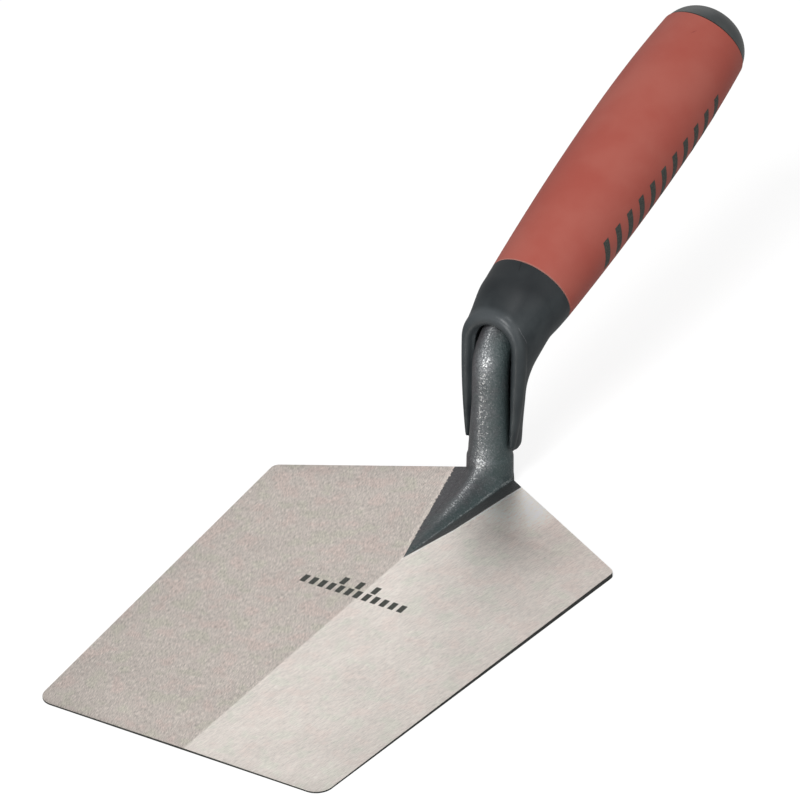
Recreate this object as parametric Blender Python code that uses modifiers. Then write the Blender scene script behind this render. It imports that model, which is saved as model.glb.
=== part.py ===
"""Masonry trowel with a broad, square-ended blade and a two-tone handle.

Frame: metres, +Z up. The flat underside of the blade lies on Z = 0, the toe
points to -Y and the handle rises towards +Y. The origin is under the middle
of the whole tool. Shapes are drawn from the heel, the blade's back corner
under the shank, and an empty puts the heel in its place.
"""

from math import cos, pi, radians, sin, sqrt, tan

import bmesh
import bpy
from mathutils import Vector

# Blade outline
BLADE_LENGTH = 0.178
BLADE_WIDTH = 0.127
TOE_WIDTH = 0.104
HEEL_DEPTH = 0.033          # from the heel to the blade's widest line
TOE_CORNER = 0.0055
BACK_CORNER = 0.0028
HEEL_RADIUS = 0.0076        # round end of the blade under the shank

# Blade thickness, ground thinner towards the edges and the toe
HEEL_THICKNESS = 0.0022
SHOULDER_EDGE = 0.00165
SHOULDER_SPINE = 0.0021
TOE_EDGE = 0.00055
TOE_SPINE = 0.00075

# Shank and tang
SHANK_Y = -0.0055           # centre of the shank's foot
SHANK_LEAN = radians(5.0)
SHANK_BEND = 0.012
FOOT_RADIUS = 0.0075
NECK_RADIUS = 0.0059
NECK_HEIGHT = 0.029
TANG_TIP_RADIUS = 0.0034
TANG_END = 0.084            # along the handle axis, from the guard's ring

# Lug, the ridge that runs from the shank down onto the blade:
# distance behind the toe side of the heel, half width, height over the blade
LUG_STATIONS = (
    (0.0060, 0.0075, 0.0098),
    (0.0095, 0.0074, 0.0088),
    (0.0125, 0.0071, 0.0064),
    (0.0155, 0.0067, 0.0046),
    (0.0220, 0.0058, 0.0027),
    (0.0310, 0.0044, 0.0015),
    (0.0420, 0.0027, 0.0008),
    (0.0530, 0.0010, 0.0003),
)
LUG_STEP = 0.0003           # upright step at its foot
LUG_SIDE = ((0.55, 0.52), (0.16, 0.95))     # shares of half width and height

# Handle axis: the guard's ring is where the guard meets the grip
HANDLE_TILT = radians(19.65)
RING_Y = 0.0217
RING_Z = 0.0552
GRIP_LENGTH = 0.1112
RING_RADIUS = 0.01425
GRIP_RADIUS = 0.01656
GRIP_WIDEST = 0.069
BUTT_RADIUS = 0.0146
FRONT_FLARE = 0.065         # slope of the grip's side at the ring
BUTT_FLARE = -0.100         # slope of the grip's side at the butt
DOME_LENGTH = 0.0103        # of the cap, past the end of the grip
DOME_SETBACK = 0.0037       # the dome is fullest this far inside the grip
DOME_POWER = 2.3            # 2 is an ellipse, more has a flatter end

# Hard core inside the grip
CORE_RADIUS = 0.0110
SPIGOT_RADIUS = 0.0095
SPIGOT_LENGTH = 0.0060

# Finger guard: front and back points of its sections, and their half widths
GUARD_TAPER = ((0.0000, 0.01420), (0.0050, 0.01370), (0.0095, 0.01310))
GUARD_SECTIONS = (
    ((0.0014, 0.0606), (0.0142, 0.0366), 0.0121),
    ((-0.0060, 0.0545), (0.0112, 0.0330), 0.0112),
    ((-0.0098, 0.0450), (0.0094, 0.0287), 0.0101),
    ((-0.0110, 0.0330), (0.0084, 0.0240), 0.0096),
    ((-0.0112, 0.0220), (0.0075, 0.0185), 0.0090),
    ((-0.0108, 0.0155), (0.0069, 0.0148), 0.0087),
    ((-0.0100, 0.0127), (0.0064, 0.0122), 0.0084),
)

# Mouth of the guard, where the shank comes out: a plane that leans back,
# and a rolled lip that runs up one cheek, over an arch and down the other
MOUTH_FOOT = (-0.0044, 0.0140)
MOUTH_TOP = (0.0004, 0.0566)
MOUTH_CUT_TOP = 0.058       # height the front is cut away to, under the arch
MOUTH_GAP = 0.0009          # round the shank
LIP_FOOT_REACH = 0.0075     # half distance between the lip's two legs
LIP_REACH = 0.0094
LIP_FOOT_RADIUS = 0.0009
LIP_RADIUS = 0.0019

CLEARANCE = 0.0003          # between pieces that touch
SEGMENTS = 48
MERGE = 0.00001


def overall_middle():
    """Y of the middle of the tool, measured from the heel."""
    butt = max(along_handle(distance, -radius).x for radius, distance in dome_outline())
    return (butt - BLADE_LENGTH) / 2


# ---------------------------------------------------------------- scene set-up

def clear_scene():
    for thing in list(bpy.data.objects):
        bpy.data.objects.remove(thing, do_unlink=True)


def new_collection(name):
    group = bpy.data.collections.new(name)
    bpy.context.scene.collection.children.link(group)
    return group


def add_empty(name, parent=None):
    thing = bpy.data.objects.new(name, None)
    tools.objects.link(thing)
    thing.parent = parent
    return thing


def add_object(name, data, group, parent):
    thing = bpy.data.objects.new(name, data)
    group.objects.link(thing)
    thing.parent = parent
    return thing


def add_cutter(name, data, parent):
    thing = add_object(name, data, tools, parent)
    thing.hide_render = True
    thing.display_type = 'WIRE'
    return thing


def boolean(target, other, operation):
    step = target.modifiers.new(other.name, 'BOOLEAN')
    step.operation = operation
    step.object = other
    step.solver = 'EXACT'


def set_material(thing, colour, roughness, metallic):
    finish = bpy.data.materials.new(thing.name)
    finish.use_nodes = True
    shader = finish.node_tree.nodes['Principled BSDF']
    shader.inputs['Base Color'].default_value = (*colour, 1.0)
    shader.inputs['Roughness'].default_value = roughness
    shader.inputs['Metallic'].default_value = metallic
    thing.data.materials.clear()
    thing.data.materials.append(finish)


# --------------------------------------------------------------- mesh builders

def mesh_from(name, form):
    bmesh.ops.recalc_face_normals(form, faces=form.faces)
    mesh = bpy.data.meshes.new(name)
    form.to_mesh(mesh)
    form.free()
    return mesh


def loft(name, rings):
    """Closed skin through rings of equal point count, with flat ends."""
    form = bmesh.new()
    rows = [[form.verts.new(point) for point in ring] for ring in rings]
    count = len(rows[0])
    for low, high in zip(rows, rows[1:]):
        for i in range(count):
            j = (i + 1) % count
            form.faces.new((low[i], low[j], high[j], high[i]))
    form.faces.new(rows[0])
    form.faces.new(rows[-1])
    bmesh.ops.triangulate(form, faces=form.faces)
    return mesh_from(name, form)


def turned(name, outline, group, parent):
    """Piece turned about local Z from (radius, height) points."""
    form = bmesh.new()
    points = [form.verts.new((radius, 0.0, height)) for radius, height in outline]
    for a, b in zip(points, points[1:]):
        form.edges.new((a, b))
    if outline[0][0] > 0.0:
        form.edges.new((points[-1], points[0]))
    mesh = bpy.data.meshes.new(name)
    form.to_mesh(mesh)
    form.free()
    thing = add_object(name, mesh, group, parent)
    screw = thing.modifiers.new('turn', 'SCREW')
    screw.axis = 'Z'
    screw.steps = SEGMENTS
    screw.render_steps = SEGMENTS
    screw.use_merge_vertices = True
    screw.merge_threshold = MERGE
    screw.use_smooth_shade = True
    return thing


def tube(name, points, radii, sides_per_quarter, parent):
    """Round bar along points, made a mesh so that it can be cut or joined."""
    curve = bpy.data.curves.new(name, 'CURVE')
    curve.dimensions = '3D'
    curve.bevel_depth = 1.0
    curve.bevel_resolution = 2 * sides_per_quarter - 2
    curve.use_fill_caps = True
    line = curve.splines.new('POLY')
    line.points.add(len(points) - 1)
    for knot, point, radius in zip(line.points, points, radii):
        knot.co = (*point, 1.0)
        knot.radius = radius
    bar = bpy.data.objects.new(name, curve)
    tools.objects.link(bar)
    bpy.context.view_layer.update()
    seen = bar.evaluated_get(bpy.context.evaluated_depsgraph_get())
    mesh = bpy.data.meshes.new_from_object(seen)
    bpy.data.objects.remove(bar, do_unlink=True)
    form = bmesh.new()
    form.from_mesh(mesh)
    bmesh.ops.remove_doubles(form, verts=form.verts, dist=MERGE)
    bmesh.ops.recalc_face_normals(form, faces=form.faces)
    form.to_mesh(mesh)
    form.free()
    mesh.name = name
    return add_cutter(name, mesh, parent)


# ----------------------------------------------------------------------- blade

def corner_stations(corner, before, after, radius, steps):
    """(half width, y) points of an arc that rounds one corner of the outline."""
    corner, before, after = Vector(corner), Vector(before), Vector(after)
    into = (before - corner).normalized()
    out = (after - corner).normalized()
    half_angle = into.angle(out) / 2
    centre = corner + (into + out).normalized() * radius / sin(half_angle)
    start = corner + into * radius / tan(half_angle) - centre
    end = corner + out * radius / tan(half_angle) - centre
    turn = start.angle(end)
    points = []
    for i in range(steps + 1):
        t = i / steps
        arm = (start * sin(turn * (1 - t)) + end * sin(turn * t)) / sin(turn)
        points.append(centre + arm)
    return points


def heel_stations(steps):
    """The round heel, from the middle line to where the back edge takes over."""
    slope = 2 * HEEL_DEPTH / BLADE_WIDTH
    a = 1 + slope * slope
    b = 2 * slope * SHANK_Y
    c = SHANK_Y * SHANK_Y - HEEL_RADIUS * HEEL_RADIUS
    meet = (-b + sqrt(b * b - 4 * a * c)) / (2 * a)
    last = Vector((meet, -slope * meet - SHANK_Y)).angle(Vector((0, 1)))
    arc = [last * i / steps for i in range(steps + 1)]
    return [Vector((HEEL_RADIUS * sin(t), SHANK_Y + HEEL_RADIUS * cos(t))) for t in arc]


def blade_outline():
    """Right half of the outline, heel to toe."""
    heel = (0.0, 0.0)
    shoulder = (BLADE_WIDTH / 2, -HEEL_DEPTH)
    toe = (TOE_WIDTH / 2, -BLADE_LENGTH)
    middle = (0.0, -BLADE_LENGTH)
    outline = heel_stations(6)
    outline += corner_stations(shoulder, heel, toe, BACK_CORNER, 3)
    outline += corner_stations(toe, shoulder, middle, TOE_CORNER, 7)
    return outline


def blade_thickness(y, at_shoulder, at_toe):
    back = min(max(-y / HEEL_DEPTH, 0.0), 1.0)
    front = min(max((-y - HEEL_DEPTH) / (BLADE_LENGTH - HEEL_DEPTH), 0.0), 1.0)
    thickness = HEEL_THICKNESS + (at_shoulder - HEEL_THICKNESS) * back
    return thickness + (at_toe - at_shoulder) * front


def spine_height(y):
    return blade_thickness(y, SHOULDER_SPINE, TOE_SPINE)


def make_blade(parent):
    """Half of the blade, open on the middle plane, and mirrored across it."""
    form = bmesh.new()
    rows = []
    for half_width, y in blade_outline():
        edge = blade_thickness(y, SHOULDER_EDGE, TOE_EDGE)
        section = ((0, y, 0), (half_width, y, 0), (half_width, y, edge), (0, y, spine_height(y)))
        rows.append([form.verts.new(point) for point in section])
    for low, high in zip(rows, rows[1:]):
        for i in range(3):
            form.faces.new((low[i], low[i + 1], high[i + 1], high[i]))
    form.faces.new(rows[-1])
    bmesh.ops.remove_doubles(form, verts=form.verts, dist=MERGE)
    bmesh.ops.triangulate(form, faces=form.faces)
    thing = add_object('blade_and_tang', mesh_from('blade_and_tang', form), parts, parent)
    mirror = thing.modifiers.new('other half', 'MIRROR')
    mirror.use_axis[0] = True
    mirror.use_clip = True
    mirror.merge_threshold = MERGE
    return thing


# -------------------------------------------------------------- shank and tang

def along_handle(distance, offset=0.0):
    """(y, z) of a point on the handle axis, or offset above it."""
    y = RING_Y + distance * cos(HANDLE_TILT) - offset * sin(HANDLE_TILT)
    z = RING_Z + distance * sin(HANDLE_TILT) + offset * cos(HANDLE_TILT)
    return Vector((y, z))


def shank_corner():
    """Where the leaning shank's line meets the handle axis."""
    lean = tan(SHANK_LEAN)
    rise = tan(HANDLE_TILT)
    y = SHANK_Y + lean * (RING_Z - RING_Y * rise - HEEL_THICKNESS)
    y /= 1 - lean * rise
    return Vector((y, RING_Z + (y - RING_Y) * rise))


def shank_route():
    """Points of the shank and tang in the YZ plane, from foot to tang tip."""
    corner = shank_corner()
    foot = Vector((SHANK_Y, HEEL_THICKNESS / 2))
    top = Vector((SHANK_Y, HEEL_THICKNESS))
    reach = SHANK_BEND * tan((pi / 2 - SHANK_LEAN - HANDLE_TILT) / 2)
    up = (corner - top).normalized()
    back = (along_handle(0) - corner).normalized()
    start = corner - up * reach
    points = [foot] + [top.lerp(start, i / 8) for i in range(8)]
    centre = start + Vector((up.y, -up.x)) * SHANK_BEND
    turn = up.angle(back)
    for i in range(11):
        angle = turn * i / 10
        arm = Vector((-up.y, up.x)) * cos(angle) + up * sin(angle)
        points.append(centre + arm * SHANK_BEND)
    tang = corner + back * reach
    tip = along_handle(TANG_END)
    return points + [tang.lerp(tip, i / 6) for i in range(1, 7)]


def shank_radius(point):
    """Radius at a point of the route: a flared foot and a tapered tang."""
    y, z = point
    flare = (z - HEEL_THICKNESS) / (NECK_HEIGHT - HEEL_THICKNESS)
    if flare < 1.0:
        return FOOT_RADIUS + (NECK_RADIUS - FOOT_RADIUS) * max(flare, 0.0)
    along = (Vector(point) - along_handle(0)).dot(Vector((cos(HANDLE_TILT), sin(HANDLE_TILT))))
    taper = min(max(along / TANG_END, 0.0), 1.0)
    return NECK_RADIUS + (TANG_TIP_RADIUS - NECK_RADIUS) * taper


def shank_bar(name, grow, parent):
    route = shank_route()
    points = [(0.0, y, z) for y, z in route]
    radii = [shank_radius(point) + grow for point in route]
    return tube(name, points, radii, 6, parent)


def make_lug(parent):
    rings = []
    for distance, half_width, height in LUG_STATIONS:
        base = spine_height(-distance)
        low = base - LUG_STEP * 2
        side = base + min(LUG_STEP, height / 3)
        half = [(half_width, low), (half_width, side)]
        half += [(half_width * across, base + height * up) for across, up in LUG_SIDE]
        ring = half + [(0.0, base + height)] + [(-x, z) for x, z in reversed(half)]
        rings.append([(x, -distance, z) for x, z in ring])
    return add_cutter('lug', loft('lug', rings), parent)


def make_forging(parent):
    blade = make_blade(parent)
    boolean(blade, make_lug(parent), 'UNION')
    boolean(blade, shank_bar('shank_and_tang', 0.0, parent), 'UNION')
    set_material(blade, (0.62, 0.59, 0.56), 0.32, 1.0)
    return blade


# ---------------------------------------------------------------------- handle

def hermite(t, low, high, low_slope, high_slope, span):
    """Height of a smooth curve between two ends with given slopes."""
    rise = (3 - 2 * t) * t * t
    lead = t * (1 - t) * (1 - t) * span * low_slope
    trail = t * t * (t - 1) * span * high_slope
    return low + (high - low) * rise + lead + trail


def grip_radius(distance):
    if distance < GRIP_WIDEST:
        t = distance / GRIP_WIDEST
        return hermite(t, RING_RADIUS, GRIP_RADIUS, FRONT_FLARE, 0.0, GRIP_WIDEST)
    span = GRIP_LENGTH - GRIP_WIDEST
    t = (distance - GRIP_WIDEST) / span
    return hermite(t, GRIP_RADIUS, BUTT_RADIUS, 0.0, BUTT_FLARE, span)


def make_core(parent):
    gap = CLEARANCE / 2
    nose = -SPIGOT_LENGTH
    socket_end = TANG_END + CLEARANCE
    socket_tip = TANG_TIP_RADIUS + CLEARANCE
    outline = (
        (0.0, GRIP_LENGTH + SPIGOT_LENGTH), (SPIGOT_RADIUS, GRIP_LENGTH + SPIGOT_LENGTH),
        (SPIGOT_RADIUS, GRIP_LENGTH - gap), (CORE_RADIUS, GRIP_LENGTH - gap),
        (CORE_RADIUS, gap), (SPIGOT_RADIUS, gap), (SPIGOT_RADIUS, nose),
        (NECK_RADIUS + CLEARANCE, nose), (NECK_RADIUS + CLEARANCE, 0.0),
        (socket_tip, socket_end), (0.0, socket_end),
    )
    core = turned('handle_core', outline, parts, parent)
    set_material(core, (0.03, 0.03, 0.03), 0.5, 0.0)


def make_grip(parent):
    gap = CLEARANCE / 2
    steps = 22
    length = GRIP_LENGTH - CLEARANCE
    stations = [GRIP_LENGTH - gap - length * i / steps for i in range(steps + 1)]
    outline = [(grip_radius(s), s) for s in stations]
    bore = CORE_RADIUS + CLEARANCE
    outline += [(bore, gap), (bore, GRIP_LENGTH - gap)]
    grip = turned('grip_sleeve', outline, parts, parent)
    set_material(grip, (0.44, 0.095, 0.07), 0.6, 0.0)


def dome_outline():
    """(radius, distance) points of the cap's dome, from its end to the grip."""
    depth = DOME_LENGTH + DOME_SETBACK
    edge = (DOME_SETBACK + CLEARANCE / 2) / depth
    fullest = BUTT_RADIUS / (1 - (DOME_SETBACK / depth) ** DOME_POWER) ** (1 / DOME_POWER)
    steps = 10
    outline = []
    for i in range(steps + 1):
        level = edge + (1 - edge) * cos(pi / 2 * i / steps)
        radius = fullest * (1 - level ** DOME_POWER) ** (1 / DOME_POWER)
        outline.append((radius, GRIP_LENGTH - DOME_SETBACK + depth * level))
    return outline


def make_butt_cap(parent):
    face = GRIP_LENGTH + CLEARANCE / 2
    socket = SPIGOT_RADIUS + CLEARANCE
    floor = GRIP_LENGTH + SPIGOT_LENGTH + CLEARANCE
    outline = dome_outline() + [(socket, face), (socket, floor), (0.0, floor)]
    cap = turned('butt_cap', outline, parts, parent)
    set_material(cap, (0.035, 0.04, 0.045), 0.38, 0.0)


# ---------------------------------------------------------------- finger guard

def oval(front, back, half_width, sides=32):
    """Ring of points on an ellipse whose long plane stands on the YZ plane."""
    front, back = Vector(front), Vector(back)
    middle = (front + back) / 2
    arm = (front - back) / 2
    ring = []
    for i in range(sides):
        angle = 2 * pi * i / sides
        y, z = middle + arm * sin(angle)
        ring.append((half_width * cos(angle), y, z))
    return ring


def make_guard(parent, handle):
    start = CLEARANCE / 2
    rings = []
    for distance, radius in GUARD_TAPER:
        s = -distance - start
        rings.append(oval(along_handle(s, radius), along_handle(s, -radius), radius))
    rings += [oval(*section) for section in GUARD_SECTIONS]
    guard = add_object('finger_guard', loft('finger_guard', rings), parts, parent)

    lean = (MOUTH_TOP[0] - MOUTH_FOOT[0]) / (MOUTH_TOP[1] - MOUTH_FOOT[1])

    def mouth(z):
        return MOUTH_FOOT[0] + (z - MOUTH_FOOT[1]) * lean

    side, front = GRIP_RADIUS, MOUTH_FOOT[0] - GRIP_RADIUS
    corners = ((-side, 0.0), (side, 0.0), (side, MOUTH_CUT_TOP), (-side, MOUTH_CUT_TOP))
    block = [[(x, mouth(z), z) for x, z in corners], [(x, front, z) for x, z in corners]]
    boolean(guard, add_cutter('guard_front', loft('guard_front', block), parent), 'DIFFERENCE')

    turn = MOUTH_TOP[1] - LIP_REACH
    legs = []
    for i in range(5):
        t = i / 5
        rise = t * (2 - t)
        reach = LIP_FOOT_REACH + (LIP_REACH - LIP_FOOT_REACH) * rise
        radius = LIP_FOOT_RADIUS + (LIP_RADIUS - LIP_FOOT_RADIUS) * rise
        legs.append((reach, MOUTH_FOOT[1] + (turn - MOUTH_FOOT[1]) * t, radius))
    arch = []
    for i in range(13):
        angle = pi * i / 12
        arch.append((LIP_REACH * cos(angle), turn + LIP_REACH * sin(angle), LIP_RADIUS))
    line = legs + arch + [(-x, z, radius) for x, z, radius in reversed(legs)]
    points = [(x, mouth(z), z) for x, z, radius in line]
    lip = tube('guard_lip', points, [radius for x, z, radius in line], 3, parent)
    boolean(guard, lip, 'UNION')

    boolean(guard, shank_bar('shank_way', MOUTH_GAP, parent), 'DIFFERENCE')
    socket = SPIGOT_RADIUS + CLEARANCE
    floor = -SPIGOT_LENGTH - CLEARANCE
    bore = ((0.0, SPIGOT_LENGTH), (socket, SPIGOT_LENGTH), (socket, floor), (0.0, floor))
    seat = turned('guard_socket', bore, tools, handle)
    seat.hide_render = True
    seat.display_type = 'WIRE'
    boolean(guard, seat, 'DIFFERENCE')
    set_material(guard, (0.045, 0.052, 0.056), 0.55, 0.0)


clear_scene()
parts = new_collection('masonry_trowel')
tools = new_collection('cutters')

heel = add_empty('heel')
heel.location = (0.0, -overall_middle(), 0.0)
handle_axis = add_empty('handle_axis', heel)
handle_axis.location = (0.0, RING_Y, RING_Z)
handle_axis.rotation_euler = (HANDLE_TILT - pi / 2, 0.0, 0.0)

make_forging(heel)
make_core(handle_axis)
make_guard(heel, handle_axis)
make_grip(handle_axis)
make_butt_cap(handle_axis)
bpy.context.view_layer.update()
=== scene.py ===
from math import cos, pi, radians, sin, sqrt, tan

import bmesh
import bpy
import numpy as np
from mathutils import Matrix, Vector


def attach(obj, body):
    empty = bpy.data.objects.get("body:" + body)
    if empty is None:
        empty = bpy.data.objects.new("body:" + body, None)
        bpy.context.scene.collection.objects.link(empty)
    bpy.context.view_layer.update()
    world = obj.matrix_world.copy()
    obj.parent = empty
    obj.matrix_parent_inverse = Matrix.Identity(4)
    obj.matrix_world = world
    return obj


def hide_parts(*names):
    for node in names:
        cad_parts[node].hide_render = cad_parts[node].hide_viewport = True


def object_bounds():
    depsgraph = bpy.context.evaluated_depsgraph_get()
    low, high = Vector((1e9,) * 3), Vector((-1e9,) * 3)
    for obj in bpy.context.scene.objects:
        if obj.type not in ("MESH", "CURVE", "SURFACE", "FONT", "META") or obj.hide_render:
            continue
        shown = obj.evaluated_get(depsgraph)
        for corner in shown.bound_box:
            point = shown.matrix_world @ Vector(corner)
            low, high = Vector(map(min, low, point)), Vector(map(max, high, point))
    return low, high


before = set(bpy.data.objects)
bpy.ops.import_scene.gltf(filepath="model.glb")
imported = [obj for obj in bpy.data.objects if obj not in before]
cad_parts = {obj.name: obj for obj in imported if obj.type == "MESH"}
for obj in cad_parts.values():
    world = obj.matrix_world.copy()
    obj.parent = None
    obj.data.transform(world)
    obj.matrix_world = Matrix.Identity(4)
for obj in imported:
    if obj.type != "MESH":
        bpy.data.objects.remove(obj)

cadLow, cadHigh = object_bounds()
scene = bpy.context.scene
mm = 0.001

# The heel is the blade's back corner, under the shank. Sizes of shapes are
# measured from it, in metres, and heelY puts it where the frame has it.
# Sizes and places in the materials are in millimetres from the heel.
blade = {
    "length": 0.178, "width": 0.12699, "toeWidth": 0.104, "heelDepth": 0.033,
    "toeCorner": 0.0055, "backCorner": 0.0028, "heelRadius": 0.0076,
    "heelThickness": 0.0022, "shoulderEdge": 0.00165, "shoulderSpine": 0.0021,
    "toeEdge": 0.00055, "toeSpine": 0.00075, "edgeRound": 0.00007, "edgeTop": 0.0023,
    "heelSteps": 14, "backSteps": 16, "backCornerSteps": 8, "sideSteps": 60, "toeCornerSteps": 14,
}
heelY = cadLow.y + blade["length"]


def fromHeel(x, y, z):
    return Vector((x, y + heelY, z))


class Wire:
    # one socket of a node; sums on it add their own Math nodes
    def __init__(self, nodes, socket):
        self.nodes = nodes
        self.socket = socket

    def maths(self, operation, *values):
        sockets = dict(enumerate(values))
        return self.nodes.add("ShaderNodeMath", {"operation": operation}, sockets)

    def __add__(self, other):
        return self.maths("ADD", self, other)

    def __radd__(self, other):
        return self.maths("ADD", other, self)

    def __sub__(self, other):
        return self.maths("SUBTRACT", self, other)

    def __rsub__(self, other):
        return self.maths("SUBTRACT", other, self)

    def __mul__(self, other):
        return self.maths("MULTIPLY", self, other)

    def __rmul__(self, other):
        return self.maths("MULTIPLY", other, self)

    def __truediv__(self, other):
        return self.maths("DIVIDE", self, other)

    def __neg__(self):
        return self.maths("MULTIPLY", self, -1.0)

    def __abs__(self):
        return self.maths("ABSOLUTE", self)

    def low(self, other):
        return self.maths("MINIMUM", self, other)

    def high(self, other):
        return self.maths("MAXIMUM", self, other)

    def clamped(self):
        return self.high(0.0).low(1.0)

    def band(self, centre, half):
        # 1 at the centre, falling to 0 at half a width on each side
        return (1.0 - abs(self - centre) / half).clamped()

    def towards(self, other, share):
        # this value at share 0, the other at share 1
        return self + (other - self) * share

    def ramp(self, start, end):
        # 0 at start, 1 at end, smooth between
        settings = {"interpolation_type": "SMOOTHSTEP"}
        sockets = {"Value": self, "From Min": start, "From Max": end}
        return self.nodes.add("ShaderNodeMapRange", settings, sockets)


class Nodes:
    # makes the nodes of one material or geometry tree
    def __init__(self, tree):
        self.tree = tree

    def add(self, kind, settings=None, sockets=None, output=0):
        node = self.tree.nodes.new(kind)
        for name, value in (settings or {}).items():
            setattr(node, name, value)
        for name, value in (sockets or {}).items():
            self.feed(node.inputs[name], value)
        return Wire(self, node.outputs[output])

    def feed(self, socket, value):
        if isinstance(value, Wire):
            self.tree.links.new(value.socket, socket)
        else:
            socket.default_value = value

    def mix(self, share, first, second, blend="MIX"):
        pair = [c if isinstance(c, Wire) else (*c, 1.0) for c in (first, second)]
        settings = {"data_type": "RGBA", "blend_type": blend}
        return self.add("ShaderNodeMix", settings, {0: share, 6: pair[0], 7: pair[1]}, 2)

    def grey(self, value):
        return self.join(value, value, value)

    def join(self, x, y, z):
        return self.add("ShaderNodeCombineXYZ", {}, {0: x, 1: y, 2: z})

    def split(self, place):
        node = self.add("ShaderNodeSeparateXYZ", {}, {0: place}).socket.node
        return [Wire(self, socket) for socket in node.outputs]

    def noise(self, place, scale, detail=2.0, roughness=0.5):
        sockets = {"Vector": place, "Scale": scale, "Detail": detail, "Roughness": roughness}
        return self.add("ShaderNodeTexNoise", {}, sockets)

    def place(self):
        # the point in millimetres from the heel: whole, then x, y, z
        point = self.add("ShaderNodeTexCoord", {}, {}, "Object")
        settings = {"operation": "MULTIPLY_ADD"}
        sockets = {0: point, 1: (1 / mm,) * 3, 2: (0.0, -heelY / mm, 0.0)}
        point = self.add("ShaderNodeVectorMath", settings, sockets)
        return [point, *self.split(point)]

    def bump(self, height, distance, strength=1.0, under=None):
        sockets = {"Height": height, "Distance": distance, "Strength": strength}
        if under is not None:
            sockets["Normal"] = under
        return self.add("ShaderNodeBump", {}, sockets)


def newMaterial(name, fixed):
    material = bpy.data.materials.new(name)
    material.use_nodes = True
    shader = material.node_tree.nodes["Principled BSDF"]
    for socket, value in fixed.items():
        shader.inputs[socket].default_value = value
    return material, Nodes(material.node_tree), shader


def finish(nodes, shader, **wires):
    for name, wire in wires.items():
        nodes.feed(shader.inputs[name.replace("_", " ")], wire)


def newObject(name, mesh):
    thing = bpy.data.objects.new(name, mesh)
    scene.collection.objects.link(thing)
    return thing


def baked(thing):
    # the object with its modifiers applied, as a plain mesh
    bpy.context.view_layer.update()
    seen = thing.evaluated_get(bpy.context.evaluated_depsgraph_get())
    mesh = bpy.data.meshes.new_from_object(seen)
    thing.modifiers.clear()
    old = thing.data
    thing.data = mesh
    bpy.data.meshes.remove(old)
    mesh.name = thing.name
    return thing


def meshFrom(name, form):
    bmesh.ops.remove_doubles(form, verts=form.verts, dist=0.000002)
    bmesh.ops.recalc_face_normals(form, faces=form.faces)
    mesh = bpy.data.meshes.new(name)
    form.to_mesh(mesh)
    form.free()
    return mesh


def loft(name, rings):
    form = bmesh.new()
    rows = [[form.verts.new(point) for point in ring] for ring in rings]
    count = len(rows[0])
    for low, high in zip(rows, rows[1:]):
        for i in range(count):
            j = (i + 1) % count
            form.faces.new((low[i], low[j], high[j], high[i]))
    form.faces.new(rows[0])
    form.faces.new(rows[-1])
    return newObject(name, meshFrom(name, form))


def combine(target, tool, operation):
    step = target.modifiers.new("combine", "BOOLEAN")
    step.operation = operation
    step.object = tool
    step.solver = "EXACT"
    baked(target)
    bpy.data.objects.remove(tool, do_unlink=True)


def soften(thing, voxel, rounds):
    # one even skin over joined shapes, with its creases relaxed
    remesh = thing.modifiers.new("skin", "REMESH")
    remesh.mode = "VOXEL"
    remesh.voxel_size = voxel
    relax = thing.modifiers.new("relax", "SMOOTH")
    relax.factor = 0.5
    relax.iterations = rounds
    baked(thing)


def shadeSmooth(thing, angle):
    thing.data.shade_smooth()
    thing.data.set_sharp_from_angle(angle=radians(angle))


def throughPoints(rows, steps):
    # smooth rows between the given ones
    rows = np.array(rows, float)
    padded = np.vstack([2 * rows[0] - rows[1], rows, 2 * rows[-1] - rows[-2]])
    filled = []
    for i in range(1, len(padded) - 2):
        a, b, c, d = padded[i - 1:i + 3]
        for k in range(steps):
            t = k / steps
            bend = (2 * a - 5 * b + 4 * c - d) * t * t + (3 * b - a - 3 * c + d) * t ** 3
            filled.append((2 * b + (c - a) * t + bend) / 2)
    filled.append(padded[-2])
    return filled


def geometryTree(name, sizes):
    # an empty tree with one named number input for each size
    tree = bpy.data.node_groups.new(name, "GeometryNodeTree")
    face = tree.interface
    for label in sizes:
        face.new_socket(label, in_out="INPUT", socket_type="NodeSocketFloat")
    face.new_socket("Geometry", in_out="OUTPUT", socket_type="NodeSocketGeometry")
    nodes = Nodes(tree)
    start = tree.nodes.new("NodeGroupInput")
    return nodes, {socket.name: Wire(nodes, socket) for socket in start.outputs if socket.name}


def endTree(nodes, shape, material):
    whole = nodes.add("GeometryNodeRealizeInstances", {}, {"Geometry": shape})
    sockets = {"Geometry": whole, "Material": material}
    done = nodes.add("GeometryNodeSetMaterial", {}, sockets)
    end = nodes.tree.nodes.new("NodeGroupOutput")
    nodes.tree.links.new(done.socket, end.inputs[0])


def grown(name, nodes, sizes):
    # runs the tree with these sizes and keeps its result as a plain mesh
    thing = newObject(name, bpy.data.meshes.new(name))
    step = thing.modifiers.new(nodes.tree.name, "NODES")
    step.node_group = nodes.tree
    for item in nodes.tree.interface.items_tree:
        if item.in_out == "INPUT":
            step[item.identifier] = float(sizes[item.name])
    return baked(thing)


def joinSeams(thing):
    form = bmesh.new()
    form.from_mesh(thing.data)
    bmesh.ops.remove_doubles(form, verts=form.verts, dist=0.000002)
    rims = [edge for edge in form.edges if edge.is_boundary]
    if rims:
        bmesh.ops.bridge_loops(form, edges=rims)
    bmesh.ops.recalc_face_normals(form, faces=form.faces)
    form.to_mesh(thing.data)
    form.free()


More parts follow.
